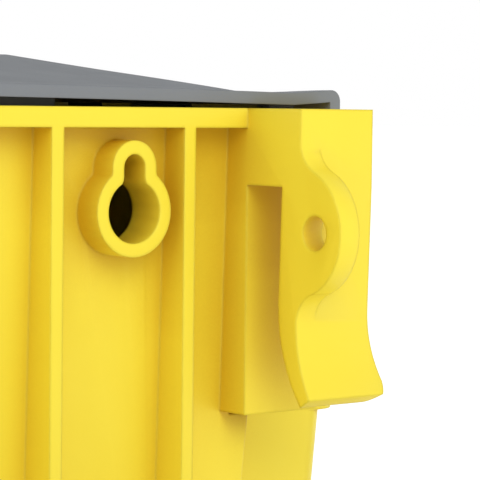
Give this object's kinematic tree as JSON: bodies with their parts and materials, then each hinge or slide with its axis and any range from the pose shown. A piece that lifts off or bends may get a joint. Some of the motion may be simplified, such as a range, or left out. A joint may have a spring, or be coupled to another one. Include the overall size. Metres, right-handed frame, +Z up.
{
  "type": "poultry waterer",
  "caption": "Automatic poultry waterer: a ribbed trough body that hangs from a tube by moulded hooks, with a hipped lid and a float valve for a garden hose.",
  "frame": {"origin": "middle of the base, on the floor plane", "axes": "+Z up, +X to the right seen from the drinking side, +Y back towards the tube or wall that it hangs on"},
  "size_m": [0.4202, 0.2219, 0.1626],
  "materials": {
    "yellow_plastic": "satin moulded polypropylene",
    "grey_plastic": "satin moulded polypropylene",
    "acetal": "natural acetal",
    "dark_acetal": "filled acetal",
    "black_nylon": "glass-filled nylon",
    "float_plastic": "blow-moulded polyethylene",
    "rubber": "EPDM",
    "brass": "turned",
    "steel": "stainless, turned or stamped",
    "spring_steel": "stainless spring strip"
  },
  "bodies": {
    "housing": {"body": "yellow_plastic", "valve_body": "acetal", "nozzle_insert": "brass", "inner_gasket": "rubber", "slip_washer": "acetal", "lock_nut": "black_nylon", "retaining_ring": "steel", "hose_washer": "rubber", "inlet_screen": "steel", "pivot_pin": "steel", "pin_clip": "spring_steel"},
    "lid": {"lid": "grey_plastic"},
    "swivel": {"swivel_nut": "black_nylon"},
    "plunger": {"plunger": "acetal", "plunger_seal": "rubber"},
    "float": {"float_arm": "dark_acetal", "float_shell": "float_plastic", "float_cap": "float_plastic", "clamp_nut": "steel"},
    "clamp": {"clamp_screw": "black_nylon"},
    "drain": {"drain_plug": "black_nylon", "drain_seal": "rubber"}
  },
  "joints": [
    {"name": "lid_lift", "type": "slide", "parent": "housing", "child": "lid", "axis": [0, 0, 1], "range_m": [0, 0.06]},
    {"name": "swivel_spin", "type": "hinge", "parent": "housing", "child": "swivel", "pos_m": [0.17787, 0.047, 0.108], "axis": [1, 0, 0], "continuous": true},
    {"name": "float_swing", "type": "hinge", "parent": "housing", "child": "float", "pos_m": [0.12587, 0.047, 0.097], "axis": [0, 1, 0], "range_deg": [0, 20]},
    {"name": "plunger_slide", "type": "slide", "parent": "housing", "child": "plunger", "axis": [1, 0, 0], "range_m": [0, 0.00382]},
    {"name": "clamp_turn", "type": "hinge", "parent": "float", "child": "clamp", "pos_m": [0.05941, 0.047, 0.05153], "axis": [0, 1, 0], "continuous": true},
    {"name": "drain_pull", "type": "slide", "parent": "housing", "child": "drain", "axis": [-1, 0, 0], "range_m": [0, 0.02]}
  ],
  "couplings": [
    {"joint": "plunger_slide", "follows": "float_swing", "m_per_rad": 0.01094}
  ]
}
